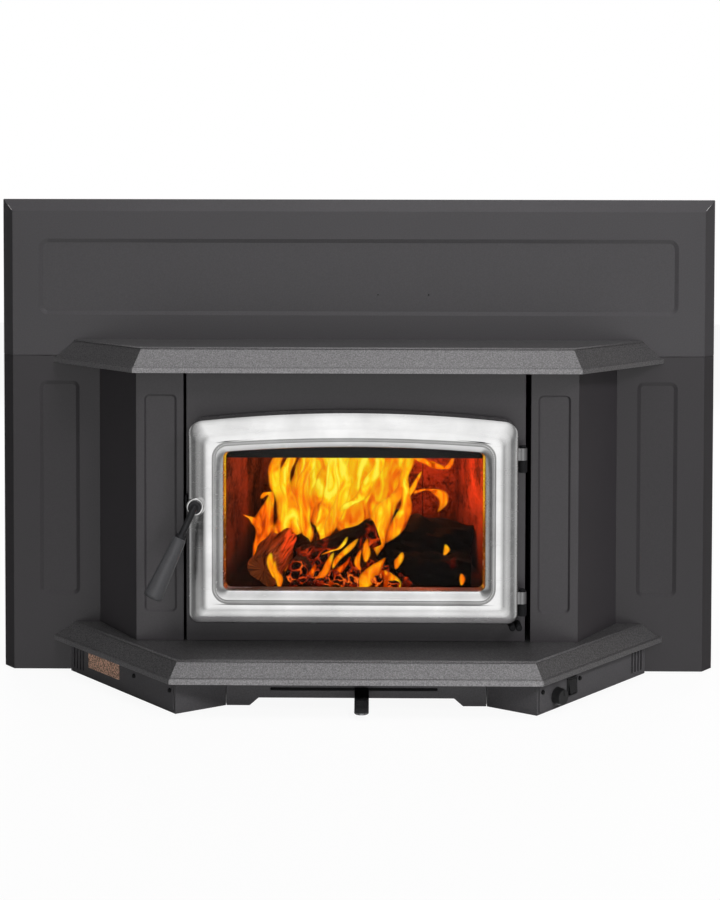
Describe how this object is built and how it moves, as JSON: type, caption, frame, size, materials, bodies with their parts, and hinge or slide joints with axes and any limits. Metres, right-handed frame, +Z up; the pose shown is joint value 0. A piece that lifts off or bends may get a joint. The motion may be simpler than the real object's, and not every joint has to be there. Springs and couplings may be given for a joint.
{
  "type": "fireplace insert",
  "caption": "Wood-burning fireplace insert with bay shelf and ledge, hinged arched glass door, turning latch handle, sliding air lever, blowers and sheet-steel surround.",
  "frame": {"origin": "on the hearth, in the middle of the width, in the plane of the surround's front face", "axes": "+X to the viewer's right, -Y towards the viewer, +Z up"},
  "size_m": [1.118, 0.646, 0.7417],
  "materials": {
    "charcoal_panel": "satin fine-metallic stove paint, charcoal",
    "charcoal_body": "satin fine-metallic stove paint, charcoal",
    "charcoal_box": "satin stove paint, dark charcoal",
    "cast_grey": "metallic stove paint on a cast plate, grey charcoal",
    "stove_black": "matt high-temperature black",
    "casing_steel": "dull aluminised sheet steel",
    "zinc_steel": "zinc-plated steel",
    "screw_black": "black oxide",
    "firebrick": "buff refractory brick, sooted",
    "baffle_steel": "heat-tinted stainless sheet",
    "bare_plate": "bare copper-brown metal plate, no lettering",
    "black_plastic": "moulded black",
    "rocker_plastic": "moulded black, glossy",
    "motor_steel": "grey enamel",
    "wheel_alloy": "pressed sheet",
    "lever_steel": "black, worn bright at the thumb end",
    "satin_nickel": "satin nickel plating on a casting",
    "bright_nickel": "bright nickel",
    "fire_glass": "clear ceramic glass",
    "seal_rope": "woven glass-fibre rope, black",
    "handle_black": "satin black",
    "grip_black": "moulded black, soft sheen"
  },
  "bodies": {
    "root": {"access_cover": "charcoal_box", "air_duct": "stove_black", "air_guide": "stove_black", "airwash_bar": "stove_black", "ash_ledge": "cast_grey", "baffle": "baffle_steel", "base_pan": "casing_steel", "blower_box_left": "charcoal_box", "blower_box_right": "charcoal_box", "blower_housing_left": "zinc_steel", "blower_housing_right": "zinc_steel", "blower_motor_left": "motor_steel", "blower_motor_right": "motor_steel", "brick_retainers": "stove_black", "centre_panel": "charcoal_box", "collar_bolts": "zinc_steel", "control_plate": "charcoal_box", "convection_casing": "casing_steel", "cover_screws": "screw_black", "data_plate": "bare_plate", "door_rests": "stove_black", "firebox_body": "stove_black", "firebrick_back": "firebrick", "firebrick_floor": "firebrick", "firebrick_left": "firebrick", "firebrick_right": "firebrick", "flue_collar": "stove_black", "front_plate": "charcoal_body", "hinge_brackets": "stove_black", "hinge_pins": "stove_black", "latch_catch": "stove_black", "pillar_left": "charcoal_body", "pillar_right": "charcoal_body", "speed_control": "black_plastic", "support_rails": "stove_black", "surround_brackets": "zinc_steel", "surround_joiners": "zinc_steel", "surround_left": "charcoal_panel", "surround_right": "charcoal_panel", "surround_studs": "zinc_steel", "surround_top": "charcoal_panel", "switch_body": "black_plastic", "top_shelf": "cast_grey"},
    "door": {"door_frame": "satin_nickel", "door_glass": "fire_glass", "glass_seal": "seal_rope", "door_seal": "seal_rope", "glass_clips": "zinc_steel", "clip_screws": "zinc_steel", "handle_bush": "bright_nickel"},
    "handle": {"handle_rod": "handle_black", "handle_grip": "grip_black", "latch_cam": "zinc_steel", "latch_nut": "zinc_steel"},
    "air_control": {"air_slider": "zinc_steel", "air_lever": "lever_steel"},
    "knob": {"speed_knob": "black_plastic"},
    "rocker": {"switch_rocker": "rocker_plastic"},
    "wheel_left": {"blower_wheel_left": "wheel_alloy"},
    "wheel_right": {"blower_wheel_right": "wheel_alloy"}
  },
  "joints": [
    {"name": "door_swing", "type": "hinge", "parent": "root", "child": "door", "pos_m": [0.245, -0.118, 0.26], "axis": [0, 0, 1], "range_deg": [0, 110]},
    {"name": "handle_turn", "type": "hinge", "parent": "door", "child": "handle", "pos_m": [-0.236, -0.14, 0.291], "axis": [0, 1, 0], "range_deg": [0, 80]},
    {"name": "air_slide", "type": "slide", "parent": "root", "child": "air_control", "axis": [1, 0, 0], "range_m": [-0.095, 0.095]},
    {"name": "knob_turn", "type": "hinge", "parent": "root", "child": "knob", "pos_m": [0.29061, -0.15989, 0.0195], "axis": [0.7071, -0.7071, 0], "range_deg": [0, 270]},
    {"name": "rocker_tilt", "type": "hinge", "parent": "root", "child": "rocker", "pos_m": [0.31607, -0.13443, 0.0247], "axis": [0.7071, 0.7071, 0], "range_deg": [0, 20]},
    {"name": "blower_left_spin", "type": "hinge", "parent": "root", "child": "wheel_left", "pos_m": [-0.33375, -0.06019, 0.0315], "axis": [-0.7071, 0.7071, 0], "continuous": true},
    {"name": "blower_right_spin", "type": "hinge", "parent": "root", "child": "wheel_right", "pos_m": [0.33375, -0.06019, 0.0315], "axis": [0.7071, 0.7071, 0], "continuous": true}
  ]
}
